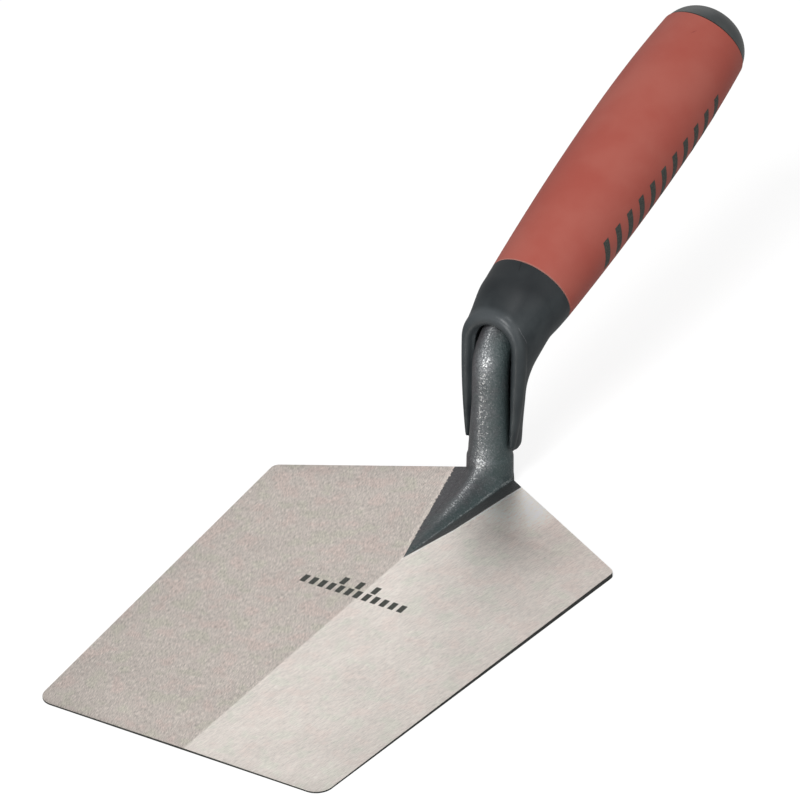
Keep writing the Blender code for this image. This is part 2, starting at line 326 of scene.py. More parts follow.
steel = {
    # the right half's tones are lighter as a painted reflection of its grind
    "leftTone": (0.645, 0.585, 0.540), "rightTone": (0.88, 0.82, 0.765),
    "leftOiled": (0.61, 0.59, 0.505), "rightOiled": (0.83, 0.825, 0.74),
    "leftWarm": (0.69, 0.575, 0.53), "rightWarm": (0.91, 0.805, 0.75),
    "divide": 2.3, "divideHalf": 0.35,    # the two grinds meet this far right of the middle
    "leftLean": 16.0, "rightLean": -11.0, "grindAcross": 4.2, "grindAlong": 0.50,
    "coarser": 0.4, "leftFiner": 1.9, "rightFiner": 1.7,
    "leftFringe": (-2.2, 0.0), "rightFringe": (-0.9, -0.2),    # brighter steel beside the scale
    # a smoother patch of the right grind, warmer past an edge, and painted lighter over a dark
    # reflection near the lug
    "patchAt": (17.0, -18.0), "patchSpread": 260.0,
    "patchEdge": (12.9, -7.8), "patchFacing": (0.79, 0.61), "patchBlur": (-0.6, 1.2),
    # the rubbed tone also paints the shank's highlight sheen, and the bare tone its glints
    "scaleTeal": (0.031, 0.048, 0.049), "scaleViolet": (0.043, 0.041, 0.045),
    "scaleDark": (0.022, 0.021, 0.021), "scaleRubbedAndSheen": (0.20, 0.21, 0.22),
    "scaleBareAndGlint": (0.68, 0.70, 0.70), "ragged": 2.6,
    "overEdge": (0.9, 1.1), "overPlate": (2.45, 2.6), "overStrip": (2.9, 3.3),    # heights
    "lugReach": 8.4, "lugTaper": 0.098,    # half width of the lug, and its fall a millimetre
    "seamAt": -0.3, "seamHalf": 0.32,    # bright line where the lug's side meets the strip
    # painted highlight up the front of the shank, strongest at its foot and its bend
    "sheenMiddle": 1.0, "sheenHalf": 4.6, "sheenFront": (-2.0, -7.0), "sheenStart": (6.0, 9.0),
    "footAt": 12.0, "footHalf": 6.5, "bendAt": 45.0, "bendHalf": 9.0,
    "crestFrom": 10.0, "crestDrift": 0.05, "crestHalf": 2.4, "crestTop": (2.7, 3.6),
}


def grindLines(nodes, x, y, lean, finer):
    # short scratches of the belt that ground one half of the blade
    turn = radians(lean)
    across = x * cos(turn) + y * sin(turn)
    along = y * cos(turn) - x * sin(turn)
    across = across * steel["grindAcross"] * finer
    along = along * steel["grindAlong"] * finer
    return nodes.noise(nodes.join(across, along, finer), 1.0, 2.0, 0.6)


def grindPair(nodes, x, y, side, leftFiner, rightFiner):
    left = grindLines(nodes, x, y, steel["leftLean"], leftFiner)
    right = grindLines(nodes, x, y, steel["rightLean"], rightFiner)
    return left.towards(right, side)


def flangeDepth(x, y, rag):
    # how far inside the unground wedge a point is, measured from its two borders
    tip, back = flange["tip"] / mm, flange["back"] / mm
    tipX, half = flange["tipX"] / mm, flange["half"] / mm
    waistX, waistY = flange["waist"][0] / mm, flange["waist"][1] / mm
    forward = -y - back
    left = x + half - forward * ((tipX + half) / (tip - back)) + rag
    upper = half - forward * ((half - waistX) / (waistY - back))
    lower = tipX + (tip + y) * ((waistX - tipX) / (tip - waistY))
    return left.low(upper.low(lower) - x)


def groundTone(nodes, point, x, y, z, side, depth, lines):
    # two halves, each ground its own way; the right half is painted lighter, a painted reflection
    # of its grind
    coarse = grindPair(nodes, x, y, side, steel["coarser"], steel["coarser"])
    nicks = grindPair(nodes, x, y, side, steel["leftFiner"], steel["rightFiner"])
    nicks = nicks.ramp(0.60, 0.74) - nicks.ramp(0.40, 0.26)
    cloud = nodes.noise(point, 0.05, 3.0, 0.55)
    shade = 1.0 + (lines - 0.5) * (1.5 - side * 0.8) + nicks * (0.50 - side * 0.36)
    shade = shade + (coarse - 0.5) * 0.35 + (cloud - 0.5) * 0.2
    tone = nodes.mix(side, steel["leftTone"], steel["rightTone"])
    # faint heat and oil tints that drift over the ground steel
    drift = nodes.noise(point, 0.13, 2.0, 0.5)
    oiled = nodes.mix(side, steel["leftOiled"], steel["rightOiled"])
    warm = nodes.mix(side, steel["leftWarm"], steel["rightWarm"])
    tone = nodes.mix(drift.ramp(0.52, 0.66) * 0.6, tone, oiled)
    tone = nodes.mix(drift.ramp(0.48, 0.34) * 0.6, tone, warm)
    fringe = depth.ramp(*steel["leftFringe"]) * (1.0 - side)
    fringe = fringe + depth.ramp(*steel["rightFringe"]) * side * 1.5
    shade = shade * (1.0 + fringe * 0.2 * z.ramp(*steel["overEdge"]))
    # painted light: the patch is lightened over a dark reflection near the lug, and warmed past an
    # edge
    (edgeX, edgeY), (facingX, facingY) = steel["patchEdge"], steel["patchFacing"]
    past = ((x - edgeX) * facingX + (y - edgeY) * facingY).ramp(*steel["patchBlur"])
    across, ahead = x - steel["patchAt"][0], y - steel["patchAt"][1]
    away = (across * across + ahead * ahead) / steel["patchSpread"]
    patchWarmAndLit = (1.0 - away).clamped() * side
    shade = shade * (1.0 + patchWarmAndLit * (0.20 + past * 0.14))
    tone = nodes.mix(patchWarmAndLit * (0.35 + past * 0.5), tone, steel["rightWarm"])
    return nodes.mix(1.0, tone, nodes.grey(shade), "MULTIPLY")


def scaleTone(nodes, x, y, z, patches, grit):
    # teal and violet forging scale, darkest in the strip right of the lug
    tint = ((patches - 0.5) * 2.2 + 0.42 - (x - 1.0) * 0.11).clamped()
    tone = nodes.mix(tint, steel["scaleTeal"], steel["scaleViolet"])
    tone = nodes.mix(grit.ramp(0.45, 0.75) * 0.35, tone, steel["scaleRubbedAndSheen"])
    beside = x - y * steel["lugTaper"] - steel["lugReach"]
    low = 1.0 - z.ramp(*steel["overStrip"])
    tone = nodes.mix(beside.ramp(-0.2, 0.4) * low * 0.8, tone, steel["scaleDark"])
    seam = beside.band(steel["seamAt"], steel["seamHalf"]) * low * grit.ramp(0.42, 0.6)
    seam = seam * (0.10 + patches.ramp(0.42, 0.62) * 0.22)
    return nodes.mix(seam, tone, steel["scaleBareAndGlint"])


def forgedSteelMaterial():
    material, nodes, shader = newMaterial("forgedSteel", {"IOR": 1.45})
    point, x, y, z = nodes.place()
    side = (x - steel["divide"]).ramp(-steel["divideHalf"], steel["divideHalf"])
    lines = grindPair(nodes, x, y, side, 1.0, 1.0)

    # scale left on the lug and the shank, ragged where the belt ran over it
    rag = (nodes.noise(point, 0.9, 4.0, 0.7) - 0.5) * steel["ragged"] * x.ramp(1.0, -1.0)
    depth = flangeDepth(x, y, rag)
    crust = depth.ramp(-0.07, 0.07) * z.ramp(*steel["overEdge"])
    crust = crust.high(z.ramp(*steel["overPlate"]))
    ground = groundTone(nodes, point, x, y, z, side, depth, lines)
    patches = nodes.noise(point, 0.16, 3.0, 0.6)
    grit = nodes.noise(point, 1.9, 4.0, 0.72)
    scale = scaleTone(nodes, x, y, z, patches, grit)

    # painted highlight on the shank's front and the crest: a lighter painted sheen over the scale,
    # and more bare grains where the highlight falls
    front = x.band(steel["sheenMiddle"], steel["sheenHalf"]) * y.ramp(*steel["sheenFront"])
    foot = z.band(steel["footAt"], steel["footHalf"])
    bend = z.band(steel["bendAt"], steel["bendHalf"])
    highlightBand = front * z.ramp(*steel["sheenStart"]) * (0.78 + foot * 0.55 + bend * 0.50)
    crestX = (-y - steel["crestFrom"]) * steel["crestDrift"]
    crest = (x - crestX).band(0.0, steel["crestHalf"]) * z.ramp(*steel["crestTop"])
    highlightBand = highlightBand.high(crest * 1.05)
    mottle = nodes.noise(point, 1.4, 3.0, 0.65).ramp(0.36, 0.62)
    paintedSheen = 0.25 + patches * 0.6 + bend * 0.60 + foot * 0.35
    paintedSheen = (highlightBand * paintedSheen * (0.30 + mottle * 0.70)).clamped()
    scale = nodes.mix(paintedSheen, scale, steel["scaleRubbedAndSheen"])
    bareAndGlints = ((grit - 0.70 + highlightBand * (0.13 + patches * 0.12)) / 0.11).clamped()
    scale = nodes.mix(bareAndGlints, scale, steel["scaleBareAndGlint"])

    colour = nodes.mix(crust, ground, scale)
    roughness = (0.43 + lines * 0.08).towards(0.30 + patches * 0.2, crust)
    metallic = 1.0 - crust * (1.0 - bareAndGlints)
    fine = nodes.bump(lines * (1.0 - crust), 0.00004, 0.5)
    pits = nodes.noise(point, 0.8, 4.0, 0.72)
    normal = nodes.bump(pits * crust, 0.00035, 1.0, fine)
    finish(nodes, shader, Base_Color=colour, Roughness=roughness,
           Metallic=metallic, Normal=normal)
    return material


def edgeSteelMaterial():
    # painted reflection: the sheared edges are coloured dark, as steel mirroring dark surroundings
    material, nodes, shader = newMaterial("edgeSteel", {"Metallic": 0.3})
    point = nodes.place()[0]
    edgeMottle = nodes.noise(point, 0.5, 4.0, 0.6)
    colour = nodes.mix(edgeMottle.ramp(0.4, 0.9), (0.022, 0.024, 0.022), (0.075, 0.078, 0.072))
    finish(nodes, shader, Base_Color=colour, Roughness=0.45 + edgeMottle * 0.2)
    return material


def cornerPoints(corner, before, after, radius, steps):
    corner, before, after = Vector(corner), Vector(before), Vector(after)
    into = (before - corner).normalized()
    out = (after - corner).normalized()
    halfAngle = into.angle(out) / 2
    centre = corner + (into + out).normalized() * radius / sin(halfAngle)
    start = corner + into * radius / tan(halfAngle) - centre
    end = corner + out * radius / tan(halfAngle) - centre
    turn = start.angle(end)
    points = []
    for i in range(steps + 1):
        t = i / steps
        points.append(centre + (start * sin(turn * (1 - t)) + end * sin(turn * t)) / sin(turn))
    return points


def bladeOutline():
    # the right half from the heel's round end to the toe's corner
    slope = 2 * blade["heelDepth"] / blade["width"]
    centre, radius = shank["footY"], blade["heelRadius"]
    a, b, c = 1 + slope * slope, 2 * slope * centre, centre * centre - radius * radius
    meet = (-b + sqrt(b * b - 4 * a * c)) / (2 * a)
    turn = Vector((meet, -slope * meet - centre)).angle(Vector((0, 1)))
    steps = blade["heelSteps"]
    arc = [turn * i / steps for i in range(steps + 1)]
    outline = [Vector((radius * sin(t), centre + radius * cos(t))) for t in arc]
    heel, middle = (0, 0), (0, -blade["length"])
    shoulder = (blade["width"] / 2, -blade["heelDepth"])
    toe = (blade["toeWidth"] / 2, -blade["length"])
    back = cornerPoints(shoulder, heel, toe, blade["backCorner"], blade["backCornerSteps"])
    front = cornerPoints(toe, shoulder, middle, blade["toeCorner"], blade["toeCornerSteps"])
    for corner, steps in ((back, blade["backSteps"]), (front, blade["sideSteps"])):
        last = outline[-1]
        outline += [last.lerp(corner[0], i / steps) for i in range(1, steps)] + corner
    return outline


def thickness(y, shoulder, toe):
    back = min(max(-y / blade["heelDepth"], 0.0), 1.0)
    span = blade["length"] - blade["heelDepth"]
    front = min(max((-y - blade["heelDepth"]) / span, 0.0), 1.0)
    heel = blade["heelThickness"]
    return heel + (shoulder - heel) * back + (toe - shoulder) * front


def spineHeight(y):
    return thickness(y, blade["shoulderSpine"], blade["toeSpine"])


def edgeHeight(y):
    return thickness(y, blade["shoulderEdge"], blade["toeEdge"])


def topHeight(x, y):
    # height of the ground top face, near the heel's slanted back edges
    half = max(-y * blade["width"] / (2 * blade["heelDepth"]), blade["heelRadius"])
    half = min(half, blade["width"] / 2)
    share = min(abs(x) / half, 1.0)
    return spineHeight(y) + (edgeHeight(y) - spineHeight(y)) * share


def makePlate():
    form = bmesh.new()
    rows = []
    for x, y in bladeOutline():
        section = ((0, 0), (x, 0), (x, edgeHeight(y)), (0, spineHeight(y)))
        rows.append([form.verts.new(fromHeel(a, y, b)) for a, b in section])
    for low, high in zip(rows, rows[1:]):
        for i in range(3):
            form.faces.new((low[i], low[i + 1], high[i + 1], high[i]))
    form.faces.new(rows[-1])
    plate = newObject("forgedTrowelBlade", meshFrom("plate", form))
    mirror = plate.modifiers.new("other half", "MIRROR")
    mirror.use_clip = True
    mirror.merge_threshold = 0.000005
    baked(plate)
    rim = plate.modifiers.new("rim", "BEVEL")
    rim.width = blade["edgeRound"]
    rim.segments = 2
    rim.limit_method = "ANGLE"
    rim.angle_limit = radians(50)
    return baked(plate)


shank = {
    "footY": -0.0055, "lean": radians(5.0), "bend": 0.012, "footRadius": 0.0075,
    "collarZ": 0.0105, "collarTaper": 0.01, "neckRadius": 0.0059, "neckZ": 0.029,
    "rootZ": 0.0009, "tangTip": 0.0034, "tangEnd": 0.084,
    "sides": 64, "riseSteps": 40, "bendSteps": 24, "tangSteps": 20,
    "voxel": 0.00035, "rounds": 4,
}
lug = {
    # distance from the heel, half width, height over the blade
    "stations": (
        (0.0050, 0.0076, 0.0100), (0.0095, 0.0075, 0.0090), (0.0125, 0.0072, 0.0065),
        (0.0155, 0.0068, 0.0046), (0.0220, 0.0058, 0.0027), (0.0310, 0.0044, 0.0015),
        (0.0420, 0.0027, 0.0008), (0.0530, 0.0010, 0.0003),
    ),
    # shares of the half width and the height, from the foot to the crest
    "profile": ((1.0, 0.02), (0.93, 0.14), (0.55, 0.52), (0.16, 0.93)),
    "sunk": 0.0009, "driftFrom": 0.010,
}
flange = {
    "tip": 0.0585, "tipX": 0.0024, "half": 0.0123, "back": 0.0070,
    "waist": (0.0076, 0.0375), "rise": 0.00012, "sunk": 0.0004, "overlap": 0.0001,
    "heelHalf": 0.0072, "heelReach": 0.0026, "heelBow": 0.0003,
}
handle = {"tilt": radians(19.65), "ringY": 0.0217, "ringZ": 0.0552, "length": 0.1112}


def alongHandle(distance, offset=0.0):
    # (y, z) from the heel, on the handle's axis or offset above it
    tilt = handle["tilt"]
    y = handle["ringY"] + distance * cos(tilt) - offset * sin(tilt)
    z = handle["ringZ"] + distance * sin(tilt) + offset * cos(tilt)
    return Vector((y, z))


def shankRoute():
    lean, rise = tan(shank["lean"]), tan(handle["tilt"])
    base = blade["heelThickness"]
    y = shank["footY"] + lean * (handle["ringZ"] - handle["ringY"] * rise - base)
    y /= 1 - lean * rise
    corner = Vector((y, handle["ringZ"] + (y - handle["ringY"]) * rise))
    top = Vector((shank["footY"], base))
    reach = shank["bend"] * tan((pi / 2 - shank["lean"] - handle["tilt"]) / 2)
    up = (corner - top).normalized()
    back = (alongHandle(0) - corner).normalized()
    start = corner - up * reach
    steps = shank["riseSteps"]
    points = [Vector((shank["footY"], shank["rootZ"]))]
    points += [top.lerp(start, i / steps) for i in range(steps)]
    centre = start + Vector((up.y, -up.x)) * shank["bend"]
    turn = up.angle(back)
    steps = shank["bendSteps"]
    for i in range(steps + 1):
        angle = turn * i / steps
        arm = Vector((-up.y, up.x)) * cos(angle) + up * sin(angle)
        points.append(centre + arm * shank["bend"])
    tang = corner + back * reach
    tip = alongHandle(shank["tangEnd"])
    steps = shank["tangSteps"]
    return points + [tang.lerp(tip, i / steps) for i in range(1, steps + 1)]


def shankRadius(point):
    y, z = point
    base = blade["heelThickness"]
    climb = (z - base) / (shank["neckZ"] - base)
    if climb < 1.0:
        radius = shank["footRadius"] + (shank["neckRadius"] - shank["footRadius"]) * max(climb, 0.0)
        if z > shank["collarZ"]:
            return radius
        return max(radius, shank["footRadius"] - (z - base) * shank["collarTaper"])
    axis = Vector((cos(handle["tilt"]), sin(handle["tilt"])))
    along = (Vector(point) - alongHandle(0)).dot(axis)
    taper = min(max(along / shank["tangEnd"], 0.0), 1.0)
    return shank["neckRadius"] + (shank["tangTip"] - shank["neckRadius"]) * taper


def makeShank(grow):
    route = shankRoute()
    rings = []
    for i, point in enumerate(route):
        ahead = route[min(i + 1, len(route) - 1)] - route[max(i - 1, 0)]
        ahead.normalize()
        if i < 2:
            ahead = Vector((0, 1))
        across = Vector((-ahead.y, ahead.x))
        radius = shankRadius(point) + grow
        ring = []
        for k in range(shank["sides"]):
            angle = 2 * pi * k / shank["sides"]
            y, z = point + across * radius * sin(angle)
            ring.append(fromHeel(radius * cos(angle), y, z))
        rings.append(ring)
    return loft("shankBar", rings)


def makeLug():
    rings = []
    for distance, halfWidth, height in throughPoints(lug["stations"], 6):
        base = topHeight(0, -distance)
        half = [(halfWidth, base - lug["sunk"])]
        half += [(halfWidth * x, base + height * z) for x, z in lug["profile"]]
        ring = half + [(0.0, base + height)] + [(-x, z) for x, z in reversed(half)]
        past = max(distance - lug["driftFrom"], 0.0)
        drift = flange["tipX"] * past / (flange["tip"] - lug["driftFrom"])
        rings.append([fromHeel(x + drift, -distance, z) for x, z in ring])
    return loft("lug", rings)


def makeFlange():
    # the low unground wedge round the lug
    tip = (flange["tipX"], flange["tip"])
    half, back = flange["half"], flange["back"] - flange["overlap"]
    heelHalf, heelEdge = flange["heelHalf"], back - flange["heelReach"]
    outline = [tip, flange["waist"], (half, back), (heelHalf, heelEdge)]
    outline += [(0, heelEdge - flange["heelBow"]), (-heelHalf, heelEdge), (-half, back)]
    rings = []
    for lift in (-flange["sunk"], flange["rise"]):
        rings.append([fromHeel(x, -y, topHeight(x, -y) + lift) for x, y in outline])
    return loft("flange", rings)


def makeForging():
    body = makeShank(0.0)
    combine(body, makeLug(), "UNION")
    soften(body, shank["voxel"], shank["rounds"])
    print("forging: shank and lug", len(body.data.polygons), "faces")
    plate = makePlate()
    combine(plate, makeFlange(), "UNION")
    combine(plate, body, "UNION")
    plate.data.materials.clear()
    plate.data.materials.append(forgedSteelMaterial())
    plate.data.materials.append(edgeSteelMaterial())
    for face in plate.data.polygons:
        low = all(plate.data.vertices[i].co.z < blade["edgeTop"] for i in face.vertices)
        upright = abs(face.normal.z) < 0.8
        face.material_index = 1 if low and upright else 0
    shadeSmooth(plate, 40)
    return plate


grip = {
    "Length": handle["length"], "Front radius": 0.01425, "Full radius": 0.01656,
    "Butt radius": 0.01472, "Widest": 0.069, "Front slope": 0.065, "Butt slope": -0.09,
    "Bore": 0.0113, "Seam": 0.00006, "Rounding": 0.00032,
}


def hermite(t, low, high, lowSlope, highSlope, span):
    rise = (3 - 2 * t) * t * t
    lead = t * (1 - t) * (1 - t) * span * lowSlope
    trail = t * t * (t - 1) * span * highSlope
    return low + (high - low) * rise + lead + trail


def gripRadius(distance, sizes):
    # the grip's radius at a distance from the ring
    widest = sizes["Widest"]
    tail = sizes["Length"] - widest
    front = hermite((distance / widest).clamped(), sizes["Front radius"],
                    sizes["Full radius"], sizes["Front slope"], 0.0, widest)
    back = hermite(((distance - widest) / tail).clamped(), sizes["Full radius"],
                   sizes["Butt radius"], 0.0, sizes["Butt slope"], tail)
    return front.towards(back, distance.maths("GREATER_THAN", distance, widest))


def rolled(nodes, shape, angle, distance, radius):
    # moves points to an angle, distance and radius round the handle's axis
    tilt = handle["tilt"]
    above = radius * angle.maths("COSINE", angle)
    ring = fromHeel(0, handle["ringY"], handle["ringZ"])
    x = radius * angle.maths("SINE", angle)
    y = distance * cos(tilt) - above * sin(tilt) + ring.y
    z = distance * sin(tilt) + above * cos(tilt) + ring.z
    sockets = {"Geometry": shape, "Position": nodes.join(x, y, z)}
    return nodes.add("GeometryNodeSetPosition", {}, sockets)


def gripTree(material):
    # a flat sheet rolled round the axis, its other way along the outline
    nodes, sizes = geometryTree("gripSleeve", grip)
    grid = {"Size X": 1.0, "Size Y": 1.0, "Vertices X": 193, "Vertices Y": 181}
    sheet = nodes.add("GeometryNodeMeshGrid", {}, grid)
    turn, run, flat = nodes.split(nodes.add("GeometryNodeInputPosition"))
    angle = (turn + 0.5) * (2 * pi)
    # the first and last bit of the run is the face at each end
    face = 0.03
    outer = ((run + 0.5 - face) / (1 - 2 * face)).clamped()
    distance = sizes["Seam"] + outer * (sizes["Length"] - 2 * sizes["Seam"])
    ends = distance.low(sizes["Length"] - distance) - sizes["Seam"]
    fall = 1.0 - (ends / sizes["Rounding"]).clamped()
    drop = 1.0 - fall.maths("SQRT", 1.0 - fall * fall)
    radius = gripRadius(distance, sizes) - sizes["Rounding"] * drop
    inward = ((abs(run) - (0.5 - face)) / face).clamped()
    radius = radius.towards(sizes["Bore"], inward)
    endTree(nodes, rolled(nodes, sheet, angle, distance, radius), material)
    return nodes


rubber = {
    "tone": (0.328, 0.068, 0.049), "faded": (0.353, 0.091, 0.068),
    # the rim tone is a painted highlight on the grip's rounded ends
    "rimHighlightTone": (0.52, 0.29, 0.25), "rimHighlightReach": (0.50, 0.22),
    "nickTone": (0.19, 0.035, 0.028), "nickX": 4.2, "nickAlong": 103.9, "nickLean": 0.5,
    "nickHalf": 0.26, "nickLong": 1.2, "nickOver": (85.0, 86.0),
}


def gripRubberMaterial():
    material, nodes, shader = newMaterial("gripRubber", {"Specular IOR Level": 0.3})
    point, x, y, z = nodes.place()
    cloud = nodes.noise(point, 0.05, 3.0, 0.5)
    grain = nodes.noise(point, 3.5, 3.0, 0.6)
    colour = nodes.mix(cloud.ramp(0.3, 0.7), rubber["tone"], rubber["faded"])
    # painted highlight: the moulded rims at both ends are painted paler, where light catches their
    # rounded edges
    ringY, ringZ = handle["ringY"] / mm, handle["ringZ"] / mm
    along = (y - ringY) * cos(handle["tilt"]) + (z - ringZ) * sin(handle["tilt"])
    rim = along.low(handle["length"] / mm - along).ramp(*rubber["rimHighlightReach"])
    colour = nodes.mix(rim * (0.30 + cloud * 0.7), colour, rubber["rimHighlightTone"])
    # a small nick near the butt, on top only
    past = along - rubber["nickAlong"]
    nick = (x - past * rubber["nickLean"]).band(rubber["nickX"], rubber["nickHalf"])
    nick = nick * past.band(0.0, rubber["nickLong"]) * z.ramp(*rubber["nickOver"])
    colour = nodes.mix(nick, colour, rubber["nickTone"])
    roughness = 0.56 + (grain - 0.5) * 0.16 + (cloud - 0.5) * 0.1
    normal = nodes.bump(grain, 0.00005, 0.5)
    finish(nodes, shader, Base_Color=colour, Roughness=roughness, Normal=normal)
    return material


cap = {
    "length": 0.01025, "radius": 0.01446, "setback": 0.0037, "power": 2.3,
    "spigot": 0.0098, "depth": 0.0063, "steps": 40, "sides": 144,
    # the edge at the ring is eased in, over a narrow band
    "edgeIn": 0.00012, "bandIn": 0.00003, "bandUp": 0.0001,
    "tone": (0.043, 0.048, 0.049), "paler": (0.062, 0.066, 0.064),
}


def aroundHandle(name, outline, sides):
    # closed piece turned round the handle's axis from (radius, distance) points
    form = bmesh.new()
    points = [form.verts.new((radius, 0.0, distance)) for radius, distance in outline]
    for a, b in zip(points, points[1:]):
        form.edges.new((a, b))
    edges = [*form.verts, *form.edges]
    bmesh.ops.spin(form, geom=edges, axis=(0, 0, 1), cent=(0, 0, 0), steps=sides,
                   angle=2 * pi, use_merge=True)
    thing = newObject(name, meshFrom(name, form))
    tip = Matrix.Rotation(handle["tilt"] - pi / 2, 4, "X")
    place = Matrix.Translation(fromHeel(0, handle["ringY"], handle["ringZ"]))
    thing.data.transform(place @ tip)
    return thing


def domeOutline():
    # (radius, distance) points from the tip back to the ring
    steps = cap["steps"]
    depth = cap["length"] + cap["setback"]
    edge = (cap["setback"] + grip["Seam"]) / depth
    power = cap["power"]
    fullest = cap["radius"] / (1 - (cap["setback"] / depth) ** power) ** (1 / power)
    outline = []
    for i in range(steps + 1):
        level = edge + (1 - edge) * cos(pi / 2 * i / steps)
        radius = fullest * (1 - level ** power) ** (1 / power)
        outline.append((radius, grip["Length"] - cap["setback"] + depth * level))
    return outline


def makeCap(material):
    face = grip["Length"] + grip["Seam"]
    floor = grip["Length"] + cap["depth"]
    outline = domeOutline()
    radius, distance = outline[-1]
    outline[-1] = (radius - cap["edgeIn"], distance)
    outline.insert(-1, (radius - cap["bandIn"], distance + cap["bandUp"]))
    outline += [(cap["spigot"], face), (cap["spigot"], floor), (0.0, floor)]
    thing = aroundHandle("buttCap", outline, cap["sides"])
    thing.data.materials.append(material)
    shadeSmooth(thing, 40)
    return thing


def capPlasticMaterial():
    material, nodes, shader = newMaterial("capPlastic", {"Specular IOR Level": 0.4})
    point = nodes.place()[0]
    cloud = nodes.noise(point, 0.12, 3.0, 0.5)
    grain = nodes.noise(point, 4.0, 2.0, 0.5)
    colour = nodes.mix(cloud.ramp(0.3, 0.7), cap["tone"], cap["paler"])
    roughness = 0.36 + (cloud - 0.5) * 0.12 + (grain - 0.5) * 0.06
    normal = nodes.bump(grain, 0.00003, 0.35)
    finish(nodes, shader, Base_Color=colour, Roughness=roughness, Normal=normal)
    return material


guard = {
    # distance from the ring, radius, and fullness of the front (2 is round)
    "collar": (
        (-0.0030, 0.01440, 2.0), (0.0, 0.01424, 2.0), (0.0050, 0.01375, 2.1),
        (0.0095, 0.01320, 2.25),
    ),
    # front (y, z), back (y, z), half width and fullness of each section, top to bottom
    "sections": (
        (0.0020, 0.0600, 0.0142, 0.0366, 0.0122, 2.42),
        (-0.0060, 0.0545, 0.0112, 0.0330, 0.0112, 2.35),
        (-0.0098, 0.0450, 0.0094, 0.0287, 0.0101, 2.2),
        (-0.0110, 0.0330, 0.0084, 0.0240, 0.0096, 2.0),
        (-0.0112, 0.0220, 0.0075, 0.0185, 0.0090, 2.0),
        (-0.0108, 0.0155, 0.0069, 0.0148, 0.0087, 2.0),
        (-0.0100, 0.0127, 0.0064, 0.0122, 0.0084, 2.0),
    ),
    "mouthFoot": (-0.0044, 0.0140), "mouthTop": (0.0004, 0.0566), "gap": 0.0009,
    "lipFootReach": 0.0081, "lipReach": 0.0094, "lipFoot": (0.0007, 0.0015),
    "lip": (0.0021, 0.0030), "lipCrown": 0.0007, "lipSetback": 0.0010,
    "blockReach": -0.03, "blockHalf": 0.02, "blockOver": 0.0018,
    "sides": 96, "cheekSteps": 24, "archSteps": 36, "lipSides": 24, "socketSides": 64,
    "socketOver": 0.001, "voxel": 0.00038, "rounds": 6,
    "tone": (0.015, 0.020, 0.023), "paler": (0.033, 0.040, 0.043),
    # the rubbed tone is a painted highlight on the lip, the ring tone painted shade at the collar
    "collarShadeTone": (0.013, 0.015, 0.017), "lipHighlightTone": (0.060, 0.068, 0.073),
    # a line of flash beside the lip, and the moulding gate's mark at the ring
    "flashTone": (0.11, 0.115, 0.12), "flashY": 0.9, "flashTurn": 53.5, "flashLean": 0.27,
    "flashHalf": 0.17, "flashLow": (49.6, 50.4), "flashHigh": (55.6, 55.2),
    "gateTone": (0.004, 0.004, 0.004), "gateX": 0.9, "gateY": 15.0, "gateLean": -0.3,
    "gateHalf": 0.22,
}


def ovalRing(frontY, frontZ, backY, backZ, halfWidth, fullness):
    # an oval whose front half is as full as it says
    front, back = Vector((frontY, frontZ)), Vector((backY, backZ))
    middle, arm = (front + back) / 2, (front - back) / 2
    ring = []
    for i in range(guard["sides"]):
        angle = 2 * pi * i / guard["sides"]
        across, out = cos(angle), sin(angle)
        if out > 0:
            across = abs(across) ** (2 / fullness) * (1 if across > 0 else -1)
            out = out ** (2 / fullness)
        y, z = middle + arm * out
        ring.append(fromHeel(halfWidth * across, y, z))
    return ring


def mouthY(z):
    (footY, footZ), (topY, topZ) = guard["mouthFoot"], guard["mouthTop"]
    return footY + (z - footZ) * (topY - footY) / (topZ - footZ)


def makeGuardBody():
    rows = [(*alongHandle(-s, r), *alongHandle(-s, -r), r, n) for s, r, n in guard["collar"]]
    rows = throughPoints(rows + list(guard["sections"]), 6)
    body = loft("fingerGuard", [ovalRing(*row) for row in rows])
    # what is in front of the mouth is cut away
    front, side = guard["blockReach"], guard["blockHalf"]
    low, high = 0.0, guard["mouthTop"][1] + guard["blockOver"]
    corners = ((-side, low), (side, low), (side, high), (-side, high))
    block = [[fromHeel(x, mouthY(z), z) for x, z in corners]]
    block.append([fromHeel(x, front, z) for x, z in corners])
    combine(body, loft("frontBlock", block), "DIFFERENCE")
    return body


